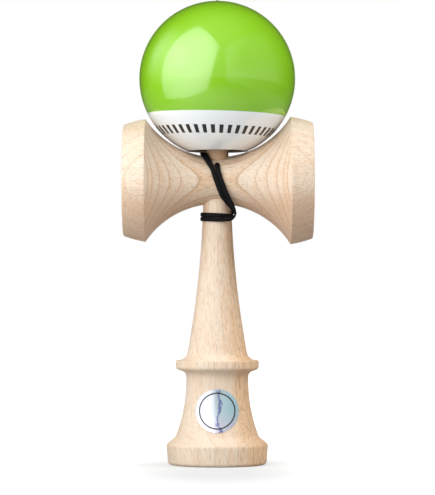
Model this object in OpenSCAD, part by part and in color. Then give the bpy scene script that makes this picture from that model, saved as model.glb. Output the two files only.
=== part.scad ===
// Kendama: a turned handle with a spike, a two-cup crosspiece pushed onto it,
// and a drilled ball that rests on the spike and is tied to the handle by a cord.
// Millimetres, +Z up, with the origin under the middle of the base cup.

/* [Foot] */
// Widest diameter of the foot
foot_d = 38.8; // [34:0.1:44]
// Diameter of the foot where it meets the table
foot_base_d = 37.6; // [34:0.1:42]
// Height of the side of the foot
foot_h = 7.8; // [5:0.1:11]
// Height of the slope from the foot up to the grip
shoulder_h = 2.9; // [1.5:0.1:5]
// Diameter of the mouth of the base cup
base_cup_d = 31.6; // [24:0.1:33]
// Depth of the base cup
base_cup_depth = 7; // [5:0.1:9]

/* [Grip] */
// Diameter of the grip where it leaves the foot
grip_low_d = 31.8; // [28:0.1:34]
// Least diameter of the grip, below the ring
grip_d = 23.7; // [20:0.1:27]
// Height of the grip
grip_h = 24.4; // [18:0.1:32]
// Diameter of the ring
ring_d = 31.7; // [28:0.1:36]
// Height of the edge of the ring
ring_h = 3.3; // [2:0.1:6]
// Height of the slope under the ring
ring_slope_h = 1.4; // [0.5:0.1:3]

/* [Neck and spike] */
// Diameter of the neck where it meets the ring
neck_low_d = 23.8; // [20:0.1:27]
// Diameter of the neck half way up, before the bow is rounded
neck_mid_d = 12.8; // [11:0.1:15]
// Diameter of the neck under the crosspiece
neck_top_d = 10.8; // [9.5:0.1:12.5]
// Height of the neck
neck_h = 59.8; // [48:0.1:72]
// Diameter of the spike where it leaves the crosspiece
spike_base_d = 8.7; // [7:0.1:10]
// Diameter of the spike at its tip
spike_tip_d = 5.4; // [3:0.1:6.5]
// Height of the spike above the crosspiece
spike_h = 37.4; // [30:0.1:44]

/* [Crosspiece] */
// Diameter of the waist between the two cups
waist_d = 17.9; // [15:0.1:22]
// Radius of the flare that the ball nests in
flare_r = 33.2; // [32:0.1:40]
// Greatest diameter on the side of the big cup
big_ridge_d = 48.8; // [44:0.1:52]
// Diameter at the mouth of the big cup
big_mouth_d = 44.4; // [42:0.1:46]
// Greatest diameter on the side of the small cup
small_ridge_d = 47; // [42:0.1:50]
// Diameter at the mouth of the small cup
small_mouth_d = 42.4; // [40:0.1:44]
// Width of the band from the ridge to the mouth
band_w = 8.5; // [6:0.1:11]
// Depth of both cups
cup_depth = 9; // [6:0.1:10]
// Thickness of the lip around both cups
lip_w = 1.7; // [1:0.1:3]

/* [Ball] */
// Diameter of the ball
ball_d = 60; // [56:0.1:62]
// Diameter of the hole for the spike
hole_d = 21.8; // [19:0.1:23]
// Width of the bevel at the mouth of the hole
bevel_w = 0.8; // [0.4:0.1:1.4]
// Straight room in the hole above the tip of the spike, for the bead and its knot
tip_room = 7.9; // [7.5:0.1:9]
// Full angle of the drill point at the end of the hole
drill_angle = 118; // [100:1:130]
// Diameter of the cord hole in the crown
crown_hole_d = 3; // [2.4:0.1:4]

/* [Cord] */
// Diameter of the cord
cord_d = 1.4; // [1:0.1:1.6]
// Diameter of the cord holes in the spike and the crosspiece
cord_hole_d = 2.2; // [1.9:0.1:2.6]
// Height of the cord hole above the middle of the crosspiece
cord_hole_up = 5.45; // [4:0.1:6]
// Diameter of the pocket for the knot at the back of the spike
pocket_d = 4.2; // [3.8:0.1:5]
// Diameter of the knot in that pocket
anchor_knot_d = 3.4; // [2.6:0.1:3.6]
// Height of the winding's first loop, below the top of the neck
winding_drop = 6.7; // [5:0.1:12]
// Rise of the winding in one loop
winding_pitch = 1.9; // [1.9:0.1:3]
// Diameter of the bead in the ball
bead_d = 8; // [6:0.1:9]
// Length of the bead
bead_l = 6.2; // [4:0.1:7]
// Diameter of the knot under the bead
ball_knot_d = 4.2; // [3.4:0.1:5]

/* [Seal] */
// Diameter of the foil seal on the grip
seal_d = 16.4; // [10:0.1:18]
// Thickness of the foil seal
seal_t = 0.15; // [0.1:0.01:0.3]

/* [Hidden] */
$fn = 120;
// Room between the spike's taper and the crosspiece
fit_gap = 0.05;
// Room under the ball where it rests on the flare
ball_gap = 0.16;
// Room around the cord, the bead and the knots
cord_gap = 0.2;
bead_gap = 0.3;
// Room behind the foil seal
seal_gap = 0.03;
// How far every cut runs past the face that it opens
overrun = 1;

// Roundings, as the length that each takes from both sides of its corner
foot_edge_round = 1.4;
foot_top_round = 0.9;
shoulder_round = 0.8;
ring_under_round = 1.6;
ring_low_round = 0.9;
ring_top_round = 0.5;
neck_foot_round = 3.2;
tip_round = 1.4;
band_bulge = 0.35;
lip_round = 0.6;
crown_bevel = 0.9;
// Height of the dome on the spike's tip
tip_dome_h = 0.5;

// Where the bows bend, and how much of their straight sides the bend takes
grip_bend_share = 0.47;
grip_bow_share = 0.84;
neck_bend_share = 0.512;
neck_bow_share = 0.86;
band_middle_share = 0.5;
band_bow_share = 0.85;
seal_height_share = 0.42;
knot_face_share = 0.42;

arc_steps = 12;
tube_sides = 8;
winding_sides = 6;
side_hint = [1, 0.1, 0.2];
loop_rings = 24;

// Heights, from the table up
shoulder_z = foot_h + shoulder_h;
ring_z = shoulder_z + grip_h;
ring_edge_z = ring_z + ring_slope_h;
ring_top_z = ring_edge_z + ring_h;
neck_mid_z = ring_top_z + neck_h * neck_bend_share;
seat_z = ring_top_z + neck_h;
cross_z = seat_z + waist_d / 2;
saddle_z = seat_z + waist_d;
tip_z = saddle_z + spike_h;
cord_hole_z = cross_z + cord_hole_up;
spike_taper = (neck_top_d - spike_base_d) / 2 / waist_d;
neck_taper = (neck_mid_d - neck_top_d) / 2 / (seat_z - neck_mid_z);

// The bows of the grip and the neck, and the seal on the grip's bow
grip_low = [grip_low_d / 2, shoulder_z];
grip_bend = [grip_d / 2, shoulder_z + grip_h * grip_bend_share];
grip_bow = norm(grip_bend - grip_low) * grip_bow_share;
grip_curve = corner(grip_low, grip_bend, [grip_d / 2, ring_z], grip_bow);
neck_bow = (seat_z - neck_mid_z) * neck_bow_share;
seal_z = shoulder_z + grip_h * seal_height_share;

// The crosspiece, along its own length
flare_mid = waist_d / 2 + flare_r;
function flare_height(x) = flare_mid - sqrt(flare_r ^ 2 - x ^ 2);
function flare_reach(r) = sqrt(flare_r ^ 2 - (flare_mid - r) ^ 2);
big_ridge_x = flare_reach(big_ridge_d / 2);
small_ridge_x = flare_reach(small_ridge_d / 2);
big_mouth_x = big_ridge_x + band_w;
small_mouth_x = small_ridge_x + band_w;

// The ball, resting with the mouth of its hole on the flare
mouth_r = hole_d / 2 + bevel_w;
mouth_drop = sqrt((ball_d / 2) ^ 2 - mouth_r ^ 2);
mouth_z = cross_z + flare_height(mouth_r) + ball_gap;
ball_z = mouth_z + mouth_drop;
hole_top_z = tip_z + tip_room;
drill_h = hole_d / 2 / tan(drill_angle / 2);
crown_z = ball_z + ball_d / 2;
bead_z = hole_top_z + drill_h - (bead_d / 2 + bead_gap) / sin(drill_angle / 2);
bead_low_z = bead_z - bead_l / 2;

// The spike at the cord hole, and the knot's pocket behind it
spike_there = spike_base_d / 2 + (saddle_z - cord_hole_z) * spike_taper;
knot_y = spike_there - cord_gap - anchor_knot_d / 2;
knot_face_y = knot_y - anchor_knot_d * knot_face_share;
pocket_y = knot_face_y - cord_gap;

// The winding: it leaves the front of the neck leftwards, and climbs as it goes round
winding_start = -90;
winding_loops = 1.75;
function neck_r(z) = neck_top_d / 2 + (seat_z - z) * neck_taper;
function winding_z(turn) = seat_z - winding_drop + winding_pitch * turn;
function winding_point(turn) =
    let (a = winding_start - 360 * turn, z = winding_z(turn), r = neck_r(z) + cord_d / 2 + cord_gap)
    [r * cos(a), r * sin(a), z];
winding_steps = ceil(winding_loops * loop_rings);
winding_line = [for (i = [0:winding_steps]) winding_point(winding_loops * i / winding_steps)];
winding_in = unit(winding_line[1] - winding_line[0]);
winding_out = unit(winding_line[winding_steps] - winding_line[winding_steps - 1]);
winding_from = winding_line[0] - winding_in * cord_d;
winding_to = winding_line[winding_steps] + winding_out * cord_d;
winding_route = concat([winding_from], winding_line, [winding_to]);
winding_gap = min([for (i = [0:winding_steps]) for (j = [i + loop_rings / 2:1:winding_steps])
    norm(winding_line[i] - winding_line[j]) - cord_d]);
echo(least_gap_in_the_winding = winding_gap);

// The cord from the knot in the spike, out of the crosspiece and down to the winding
lead_route = concat([
    [0, knot_face_y, cord_hole_z], [0, -0.6, 114], [0, -4, 114], [0, -7.2, 114],
    [0, -8.4, 113.6], [0.2, -9.2, 112.7], [0.5, -9.7, 111.4], [0.9, -9.9, 110], [1.5, -10, 108],
    [2.3, -9.8, 106], [3.1, -9.2, 103.9], [4, -8.5, 102], [5, -7.8, 100.2], [5.9, -7.3, 98.4],
    [6.6, -7, 96.8], [6.8, -6.8, 95.6], [6.6, -6.7, 94.5], [6, -6.6, 93.6], [5.1, -6.6, 93],
    [4, -6.6, 92.8]], [winding_from - winding_in * cord_d, winding_from]);
// The cord from the winding, up the crosspiece and over its top beside the spike, to behind it
rise_route = concat([winding_to, winding_to + winding_out * cord_d], [
    [6.1, -4.2, 97.1], [5.3, -5.2, 98.3], [4.3, -5.8, 99.4], [3.2, -6.7, 100.7], [2, -7.8, 102.2],
    [1.2, -9, 104], [0.4, -9.7, 106], [-0.3, -9.9, 108], [-1, -9.9, 110], [-1.6, -9.5, 112],
    [-2.5, -8.5, 114], [-3.6, -6.9, 116], [-4.7, -4.6, 117.8], [-5.3, -1.8, 118.8], [-5.3, 1.6, 118.8],
    [-4.8, 4.6, 117.8], [-4, 7.2, 115.9], [-3, 9.2, 113], [-2, 10.4, 109.6], [-1.2, 11.2, 106],
    [-0.6, 11.8, 102.4], [-0.4, 12, 100.4]]);
// The slack of the cord, hanging behind the neck and then going up the ball to its crown
slack_route = concat([
    [-0.4, 12, 100.4], [-0.2, 12.2, 98.4], [0, 12.6, 94], [0, 12.9, 86], [0, 13, 76], [0, 13.1, 69.5],
    [0, 13.6, 65.5], [0, 15, 61.8], [0, 17.5, 58.8], [0, 20.6, 57.2], [0, 24, 57.2], [0, 27, 58.8],
    [0, 29.4, 61.8], [0, 30.7, 65.5], [0, 31.2, 69.5], [0, 31.3, 76], [0, 31.4, 90], [0, 31.4, 110],
    [0, 31.4, 130], [0, 31.3, 142], [0, 31.2, 147.4], [0, 30.8, 152.3], [0, 29.7, 157.1], [0, 27.8, 161.6],
    [0, 25.3, 165.8], [0, 22.1, 169.5], [0, 18.4, 172.7], [0, 14.2, 175.3], [0, 9.7, 177.1], [0, 5.6, 178.2],
    [0, 3.2, 178.5], [0, 1.9, 178.3], [0, 0.9, 177.6], [0, 0.2, 176.6], [0, 0, 175.4], [0, 0, 171]],
    [[0, 0, bead_low_z]]);

function unit(v) = v / norm(v);

// Points of the arc that rounds the corner at b, taking the given length of both sides
function corner(a, b, c, taken) =
    let (u = unit(a - b), v = unit(c - b), half = acos(u * v) / 2, r = taken * tan(half),
        middle = b + unit(u + v) * r / sin(half), p = b + u * taken - middle, q = b + v * taken - middle,
        from = atan2(p.y, p.x), turn = (atan2(q.y, q.x) - from + 540) % 360 - 180)
    [for (i = [0:arc_steps]) let (at = from + turn * i / arc_steps) middle + r * [cos(at), sin(at)]];

// An outline of [x, y, rounding] points, with its corners rounded
function rounded(line) = [for (i = [0:len(line) - 1])
    let (a = line[max(i - 1, 0)], b = line[i], c = line[min(i + 1, len(line) - 1)])
    each b.z == 0 ? [[b.x, b.y]] : corner([a.x, a.y], [b.x, b.y], [c.x, c.y], b.z)];

// The direction of a route at its point i
function heading(p, i) = unit(p[min(i + 1, len(p) - 1)] - p[max(i - 1, 0)]);
// One sideways direction for each point, carried along the route without twisting
function sideways(p, i, last) = i == len(p) ? [] :
    let (t = heading(p, i), s = unit(last - (last * t) * t)) concat([s], sideways(p, i + 1, s));

// A round tube along a route
module tube(route, d, sides) {
    across = sideways(route, 0, side_hint);
    points = [for (i = [0:len(route) - 1])
        let (s = across[i], up = cross(heading(route, i), s))
        for (k = [0:sides - 1]) route[i] + d / 2 * (s * cos(360 * k / sides) + up * sin(360 * k / sides))];
    last = (len(route) - 1) * sides;
    walls = [for (i = [0:len(route) - 2]) for (k = [0:sides - 1])
        let (a = i * sides + k, b = i * sides + (k + 1) % sides)
        each [[a, a + sides, b], [b, a + sides, b + sides]]];
    first_end = [for (k = [1:sides - 2]) [0, k, k + 1]];
    last_end = [for (k = [1:sides - 2]) [last, last + k + 1, last + k]];
    polyhedron(points, concat(walls, first_end, last_end));
}

// The radius of a round dish with the given mouth and depth
function dish_r(mouth, depth) = (mouth ^ 2 / 4 + depth ^ 2) / 2 / depth;

module handle() color("burlywood") difference() {
    rotate_extrude() polygon(rounded([
        [0, 0, 0], [foot_base_d / 2, 0, foot_edge_round], [foot_d / 2, foot_h, foot_top_round],
        [grip_low.x, grip_low.y, shoulder_round], [grip_bend.x, grip_bend.y, grip_bow],
        [grip_d / 2, ring_z, ring_under_round], [ring_d / 2, ring_edge_z, ring_low_round],
        [ring_d / 2, ring_top_z, ring_top_round], [neck_low_d / 2, ring_top_z, neck_foot_round],
        [neck_mid_d / 2, neck_mid_z, neck_bow], [neck_top_d / 2, seat_z, 0], [spike_base_d / 2, saddle_z, 0],
        [spike_tip_d / 2, tip_z - tip_dome_h, tip_round], [0, tip_z, 0]]));
    base_r = dish_r(base_cup_d, base_cup_depth);
    translate([0, 0, base_cup_depth - base_r]) sphere(base_r);
    translate([0, pocket_y + overrun, cord_hole_z]) rotate([90, 0, 0])
        cylinder(d = cord_hole_d, h = neck_top_d);
    translate([0, pocket_y, cord_hole_z]) rotate([-90, 0, 0]) cylinder(d = pocket_d, h = neck_top_d);
}

// Half of the crosspiece's outline, from its middle out to the axis at one mouth
function half_outline(ridge_d, ridge_x, mouth_d) =
    let (ridge = [ridge_d / 2, ridge_x], mouth = [mouth_d / 2, ridge_x + band_w],
        bulge = ridge + (mouth - ridge) * band_middle_share + [band_bulge, 0],
        past = ridge + unit(ridge - bulge) * overrun)
    [[past.x, past.y, 0], [bulge.x, bulge.y, band_w * band_middle_share * band_bow_share],
        [mouth.x, mouth.y, lip_round], [0, mouth.y, 0]];
function mirrored(line) = [for (i = [len(line) - 1:-1:0]) [line[i].x, -line[i].y, line[i].z]];

module cup(mouth_d, mouth_x) {
    r = dish_r(mouth_d - 2 * lip_w, cup_depth);
    translate([mouth_x - cup_depth + r, 0, cross_z]) sphere(r);
}

module crosspiece() color("wheat") difference() {
    translate([0, 0, cross_z]) rotate([0, 90, 0]) rotate_extrude() difference() {
        polygon(rounded(concat(mirrored(half_outline(small_ridge_d, small_ridge_x, small_mouth_d)),
            half_outline(big_ridge_d, big_ridge_x, big_mouth_d))));
        translate([flare_mid, 0]) circle(flare_r);
    }
    cup(big_mouth_d, big_mouth_x);
    mirror([1, 0, 0]) cup(small_mouth_d, small_mouth_x);
    past = overrun * spike_taper;
    translate([0, 0, seat_z - overrun]) cylinder(h = waist_d + 2 * overrun,
        r1 = neck_top_d / 2 + fit_gap + past, r2 = spike_base_d / 2 + fit_gap - past);
    translate([0, 0, cord_hole_z]) rotate([90, 0, 0]) cylinder(d = cord_hole_d, h = waist_d / 2 + overrun);
}

module ball() color("yellowgreen") difference() {
    translate([0, 0, ball_z]) sphere(d = ball_d);
    translate([0, 0, seat_z]) cylinder(d = hole_d, h = hole_top_z - seat_z);
    translate([0, 0, mouth_z - overrun]) cylinder(h = bevel_w + overrun,
        r1 = mouth_r + overrun, r2 = hole_d / 2);
    translate([0, 0, hole_top_z]) cylinder(d1 = hole_d, d2 = 0, h = drill_h);
    translate([0, 0, hole_top_z]) cylinder(d = crown_hole_d, h = crown_z - hole_top_z + overrun);
    translate([0, 0, crown_z - crown_bevel]) cylinder(d1 = crown_hole_d,
        d2 = crown_hole_d + 2 * (crown_bevel + overrun), h = crown_bevel + overrun);
}

module string_bead() color("dimgray") difference() {
    translate([0, 0, bead_z]) intersection() {
        sphere(d = bead_d);
        cylinder(r = bead_d, h = bead_l, center = true);
    }
    translate([0, 0, bead_low_z - overrun]) cylinder(d = cord_hole_d, h = bead_l + 2 * overrun);
}

// A pulled knot that stands on a flat face
module knot(d) color("black") difference() {
    translate([0, 0, d * knot_face_share]) sphere(d = d);
    translate([0, 0, -d]) cylinder(r = d, h = d);
}

module ball_knot() translate([0, 0, bead_low_z]) mirror([0, 0, 1]) knot(ball_knot_d);

module anchor_knot() translate([0, knot_face_y, cord_hole_z]) rotate([-90, 0, 0]) knot(anchor_knot_d);

module string_lead() color("black") tube(lead_route, cord_d, tube_sides);

module string_turns() color("black") tube(winding_route, cord_d, winding_sides);

module string_rise() color("black") tube(rise_route, cord_d, tube_sides);

module string_slack() color("black") tube(slack_route, cord_d, tube_sides);

// A round of foil, curved with the front of the grip
module foil_seal() color("lavender") intersection() {
    rotate_extrude() polygon(concat(
        [for (p = grip_curve) p + [seal_gap, 0]],
        [for (i = [len(grip_curve) - 1:-1:0]) grip_curve[i] + [seal_gap + seal_t, 0]]));
    translate([0, 0, seal_z]) rotate([90, 0, 0]) cylinder(d = seal_d, h = foot_d);
}

handle();
crosspiece();
ball();
string_bead();
ball_knot();
anchor_knot();
string_lead();
string_turns();
string_rise();
string_slack();
foil_seal();
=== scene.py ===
# %% [markdown]
# # A kendama: turned beech, lacquer and a braided cord
# This lesson dresses a finished model of the toy. The model's pieces come in as a fixed frame, in
# metres, and each step below makes the surface of one piece, or its finish, in the place that the frame
# gives. Lengths are written in millimetres, and become metres where a mesh is made.

# %% Load the frame
import math

import bmesh
import bpy
import numpy as np
from mathutils import Matrix, Vector


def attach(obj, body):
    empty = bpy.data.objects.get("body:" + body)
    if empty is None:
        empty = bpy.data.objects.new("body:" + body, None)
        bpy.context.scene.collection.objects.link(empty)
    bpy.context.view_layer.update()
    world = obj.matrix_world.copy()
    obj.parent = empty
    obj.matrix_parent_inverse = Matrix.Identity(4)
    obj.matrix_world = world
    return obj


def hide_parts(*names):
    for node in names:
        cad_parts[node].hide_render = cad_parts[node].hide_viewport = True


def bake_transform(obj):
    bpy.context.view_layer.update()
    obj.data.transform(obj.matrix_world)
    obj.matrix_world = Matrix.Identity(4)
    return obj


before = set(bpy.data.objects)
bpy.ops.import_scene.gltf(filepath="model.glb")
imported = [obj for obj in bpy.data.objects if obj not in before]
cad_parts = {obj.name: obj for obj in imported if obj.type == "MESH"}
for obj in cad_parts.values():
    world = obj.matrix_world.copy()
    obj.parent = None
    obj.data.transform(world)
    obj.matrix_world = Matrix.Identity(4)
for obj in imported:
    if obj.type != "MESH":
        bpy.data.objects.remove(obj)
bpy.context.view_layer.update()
MM = 0.001
print("pieces in the frame:", ", ".join(sorted(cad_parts)))

# %% [markdown]
# ## The camera
# A product photo is taken from far off with a long lens, so that the ball looks round and the cups look
# alike. The focal length could be tried by eye, but it changes the framing and the perspective
# together. What counts is how many pixels one millimetre takes at the toy's axis. From that number and
# a distance the focal length follows, so the framing can be tuned in plain terms.

# %% Place the camera
PHOTO_H = 495
PX_PER_MM = 2.613
EYE_DISTANCE = 950 * MM
EYE_HEIGHT = 64 * MM
AIM_HEIGHT = 82.9 * MM
AIM_X = 0.1 * MM
SENSOR_MM = 36
CLIP_NEAR = 0.01
CLIP_FAR = 20

camera_data = bpy.data.cameras.new("camera")
camera = bpy.data.objects.new("camera", camera_data)
bpy.context.scene.collection.objects.link(camera)
bpy.context.scene.camera = camera
camera_data.sensor_width = SENSOR_MM
camera_data.lens = SENSOR_MM * PX_PER_MM / MM * EYE_DISTANCE / PHOTO_H
camera_data.clip_start = CLIP_NEAR
camera_data.clip_end = CLIP_FAR
camera.location = (AIM_X, -EYE_DISTANCE, EYE_HEIGHT)
aim = Vector((AIM_X, 0, AIM_HEIGHT)) - camera.location
camera.rotation_euler = aim.to_track_quat("-Z", "Y").to_euler()
tilt = math.degrees(math.asin(aim.z / aim.length))
print(f"lens {camera_data.lens:.1f} mm, tilted up {tilt:.2f} degrees")

# %% [markdown]
# ## From arrays to meshes
# Every piece of this toy is round in some way, so every surface here is a grid of points: rows run
# along the shape and columns run round it. Blender's own primitives could start some of the pieces, but
# a grid that is worked out as whole arrays gives each point its place at once. One function turns a
# grid into faces, and a row that shrinks to a point becomes a pole.

# %% Grids into objects
CRISP_DEGREES = 35


def link_mesh(name, points, faces):
    """A new object whose mesh has these points and faces, with smooth shading."""
    mesh = bpy.data.meshes.new(name)
    mesh.from_pydata(points.tolist(), [], faces)
    mesh.validate()
    mesh.shade_smooth()
    piece = bpy.data.objects.new(name, mesh)
    bpy.context.scene.collection.objects.link(piece)
    return piece


def grid_faces(rows, columns):
    """Four corners for each cell of a grid whose columns close on themselves: a point and the next one
    in its row, and the same two one row on."""
    row, column = np.meshgrid(np.arange(rows - 1), np.arange(columns), indexing="ij")
    after = (column + 1) % columns
    here = row * columns
    there = here + columns
    corners = [here + column, here + after, there + after, there + column]
    return np.stack(corners, -1).reshape(-1, 4)


def capped_grid(name, grid, first_pole=None, last_pole=None):
    """A grid of rows round a shape, closed at each end by a fan of triangles to a pole, where one is
    given. The first fan goes the other way round, so that both face outwards."""
    rows, columns = grid.shape[:2]
    points = grid.reshape(-1, 3)
    faces = grid_faces(rows, columns).tolist()
    ring = np.arange(columns)
    after = (ring + 1) % columns
    ends = ((first_pole, 0, (after, ring)), (last_pole, (rows - 1) * columns, (ring, after)))
    for pole, start, (one, other) in ends:
        if pole is not None:
            centre = np.full(columns, len(points))
            faces += np.stack([start + one, start + other, centre], -1).tolist()
            points = np.vstack([points, pole])
    return link_mesh(name, points, faces)


def crisp_edges(piece):
    """Smooth shading that stays sharp where two faces meet at more than a set angle."""
    piece.data.set_sharp_from_angle(angle=math.radians(CRISP_DEGREES))
    return piece


print("helpers ready")

# %% [markdown]
# ## The cord
# The toy is strung with one black braided cord. It comes out of the hole at the front of the
# crosspiece, goes round the neck, climbs over the crosspiece beside the spike, hangs behind the handle
# and goes up the back of the ball to its crown. A curve with a bevel would give a plain pipe, so the
# cord is a tube of its own: a smooth line through points, and an oval section whose skin has the small
# diamonds of a braid. First come the points, some listed one by one and some from the shape that the
# cord lies on.

# %% The cord's route, in millimetres
CROSS_Z = 108.55
SEAT_Z = 99.6
CORD_HOLE_Z = 114
BEAD_LOW_Z = 161.23
LEAD_ROUTE = [
    (0, 1.23, CORD_HOLE_Z), (0, -0.6, CORD_HOLE_Z), (0, -4, CORD_HOLE_Z), (0, -7.2, CORD_HOLE_Z),
    (0, -8.4, 113.6), (0.2, -9.2, 112.7), (0.5, -9.7, 111.4), (0.9, -9.9, 110), (1.5, -10, 108),
    (2.3, -9.8, 106), (3.1, -9.2, 103.9), (4, -8.5, 102), (5, -7.8, 100.2), (5.9, -7.3, 98.4),
    (6.6, -7, 97.1), (6.9, -6.8, 96), (6.7, -6.6, 94.9), (5.9, -6.4, 94), (4.7, -6.3, 93.6),
    (3, -6.25, 93.45)]
RISE_ROUTE = [
    (6.1, -4.2, 97.1), (5.3, -5.2, 98.3), (4.3, -5.8, 99.4), (3.2, -6.7, 100.7), (2, -7.8, 102.2),
    (1.2, -9, 104), (0.4, -9.7, 106), (-0.3, -9.9, 108), (-1, -9.9, 110), (-1.6, -9.5, 112),
    (-2.5, -8.5, 114), (-3.6, -6.9, 116), (-4.7, -4.6, 117.8), (-5.3, -1.8, 118.8), (-5.3, 1.6, 118.8),
    (-4.8, 4.6, 117.8), (-4, 7.2, 115.9), (-3, 9.2, 113), (-2, 10.4, 109.6), (-1.2, 11.2, 106),
    (-0.6, 11.8, 102.4), (-0.4, 12, 100.4)]
HANG_ROUTE = [
    (-0.4, 12, 100.4), (-0.2, 12.2, 98.4), (0, 12.6, 94), (0, 12.9, 86), (0, 13, 76), (0, 13.1, 69.5),
    (0, 13.6, 65.5), (0, 15, 61.8), (0, 17.5, 58.8), (0, 20.6, 57.2), (0, 24, 57.2), (0, 27, 58.8),
    (0, 29.4, 61.8), (0, 30.7, 65.5), (0, 31.2, 69.5)]
CLIMB_ROUTE = [
    (0, 31.2, 69.5), (0, 31.3, 76), (0, 31.3, 90), (0, 31.2, 110), (0, 31, 128), (0, 30.8, 138)]
CROWN_ROUTE = [
    (0, 3.0, 177.72), (0, 2.0, 177.5), (0, 1.1, 176.95), (0, 0.42, 176.1), (0, 0.1, 175.1), (0, 0, 174),
    (0, 0, 170), (0, 0, BEAD_LOW_Z)]

CORD_WIDTH = 1.8
CORD_THICKNESS = 0.85
CORD_GAP = 0.06
TURN_COUNT = 1.75
TURN_POINTS = 43
TURN_RISE = 1.68
TURN_DROP = 6.2
NECK_TOP_R = 5.4
NECK_SLOPE = 0.0343
BALL_R = 30
BALL_Z = 147.41
BACK_DEGREES = (88, 10)
BACK_POINTS = 16


def neck_turns():
    """The turns round the neck: a helix on its taper, from the front leftwards, its height rising with
    the turn."""
    turn = np.linspace(0, TURN_COUNT, TURN_POINTS)
    height = SEAT_Z - TURN_DROP + TURN_RISE * turn
    radius = NECK_TOP_R + (SEAT_Z - height) * NECK_SLOPE + CORD_THICKNESS / 2 + CORD_GAP
    angle = np.radians(-90) - 2 * np.pi * turn
    return np.stack([radius * np.cos(angle), radius * np.sin(angle), height], -1)


def over_the_ball():
    """Up the back of the ball to its crown, half a cord and a hair off its skin: (R sin a, R cos a) in
    the plane x = 0, with the angle a taken from the crown."""
    angle = np.radians(np.linspace(*BACK_DEGREES, BACK_POINTS))
    radius = BALL_R + CORD_THICKNESS / 2 + CORD_GAP
    return np.stack([0 * angle, radius * np.sin(angle), BALL_Z + radius * np.cos(angle)], -1)


strung_points = np.vstack([LEAD_ROUTE, neck_turns(), RISE_ROUTE])
hanging_points = np.vstack([HANG_ROUTE, CLIMB_ROUTE[1:], over_the_ball(), CROWN_ROUTE])
print(len(strung_points), "points on the toy and", len(hanging_points), "behind it")

# %% [markdown]
# A pulled cord bends but has no corners, and its braid has the same pitch all along. A Bezier curve
# would bend as well, but its steps are uneven. So each stretch between two points is a cubic, and the
# whole line is then cut into even steps.

# %% Smooth lines
CORD_STEP = 0.18
FINER = 4


def smooth_line(points, step):
    """A smooth line through the points, in even steps. Between two points it is a cubic, whose slope at
    a point is the mean of the two chords' slopes there, each weighted by the other's length. The cubics
    are worked out more finely than the steps, and the steps are then measured off along them."""
    points = np.asarray(points, float)
    chord = np.linalg.norm(np.diff(points, axis=0), axis=1)
    at = np.r_[0, np.cumsum(chord)]
    slope = np.diff(points, axis=0) / chord[:, None]
    before, behind = chord[:-1, None], chord[1:, None]
    inner = (slope[:-1] * behind + slope[1:] * before) / (before + behind)
    slopes = np.vstack([slope[:1], inner, slope[-1:]])
    fine = np.linspace(0, at[-1], int(at[-1] / step * FINER))
    i = np.clip(np.searchsorted(at, fine, "right") - 1, 0, len(chord) - 1)
    h = chord[i][:, None]
    u = ((fine - at[i]) / chord[i])[:, None]
    line = (points[i] * (1 + 2 * u) * (1 - u) ** 2 + points[i + 1] * u**2 * (3 - 2 * u)
            + h * slopes[i] * u * (1 - u) ** 2 + h * slopes[i + 1] * u**2 * (u - 1))
    run = np.r_[0, np.cumsum(np.linalg.norm(np.diff(line, axis=0), axis=1))]
    even = np.linspace(0, run[-1], int(round(run[-1] / step)) + 1)
    return np.stack([np.interp(even, run, line[:, k]) for k in range(3)], -1)


def unit(v):
    """Each row made one long."""
    return v / np.linalg.norm(v, axis=-1, keepdims=True)


strung = smooth_line(strung_points, CORD_STEP)
hanging = smooth_line(hanging_points, CORD_STEP)
print(f"strung {CORD_STEP * (len(strung) - 1):.1f} mm, hanging {CORD_STEP * (len(hanging) - 1):.1f} mm")

# %% [markdown]
# The cord's flat side lies on the wood, so each point of its line needs the direction away from the
# wood: from the axis of the neck low down, and from the axis of the crosspiece above. A curve's own
# twist would let the flat side roll over. The braid is two sets of strands that cross, and the product
# of two cosines, one round the cord and one along it, has the same diamonds.

# %% How the cord lies
ON_NECK_Z = 97
ON_CROSS_Z = 101
EYE = np.array([6.9, -6.7, 95.7])
EYE_OUTWARD = np.array([1, 0.1, -0.45])
EYE_REACH = 2.2
TIGHT_LOSS = 0.2
BENT_GAIN = 0.75
BEND_LOW_Z = 112
BEND_TOP_Z = 117


def ease(low, high, value):
    """0 at low, 1 at high, and a smooth S between them."""
    u = np.clip((value - low) / (high - low), 0, 1)
    return u * u * (3 - 2 * u)


def away_from_wood(line):
    """Out from the neck's axis below the crosspiece, out from the crosspiece's axis above, and eased
    between. Near the small eye at the right of the neck the cord turns on edge, by a bell-shaped share
    of the distance to it."""
    x, y, z = line.T
    nothing = np.zeros_like(x)
    from_neck = unit(np.stack([x, y, nothing], -1))
    from_cross = unit(np.stack([nothing, y, z - CROSS_Z], -1))
    share = ease(ON_NECK_Z, ON_CROSS_Z, z)[:, None]
    on_edge = np.exp(-(np.linalg.norm(line - EYE, axis=1) / EYE_REACH) ** 2)[:, None]
    flat = unit(from_neck * (1 - share) + from_cross * share)
    return flat * (1 - on_edge) + unit(EYE_OUTWARD) * on_edge


def pressed_width(line):
    """Narrow where it is pulled tight round the neck, and spread a little where it is bent over the
    crosspiece."""
    z = line[:, 2]
    tight = TIGHT_LOSS * ease(ON_CROSS_Z, ON_NECK_Z, z)
    return CORD_WIDTH - tight + BENT_GAIN * ease(BEND_LOW_Z, BEND_TOP_Z, z)


outward = away_from_wood(strung)
width = pressed_width(strung)
print(f"the strung cord is {width.min():.2f} to {width.max():.2f} mm wide")

# %% Braided tubes
BRAID_STRANDS = 8
BRAID_PITCH = 1.15
BRAID_DEPTH = 0.055
CORD_SIDES = 32


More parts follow.
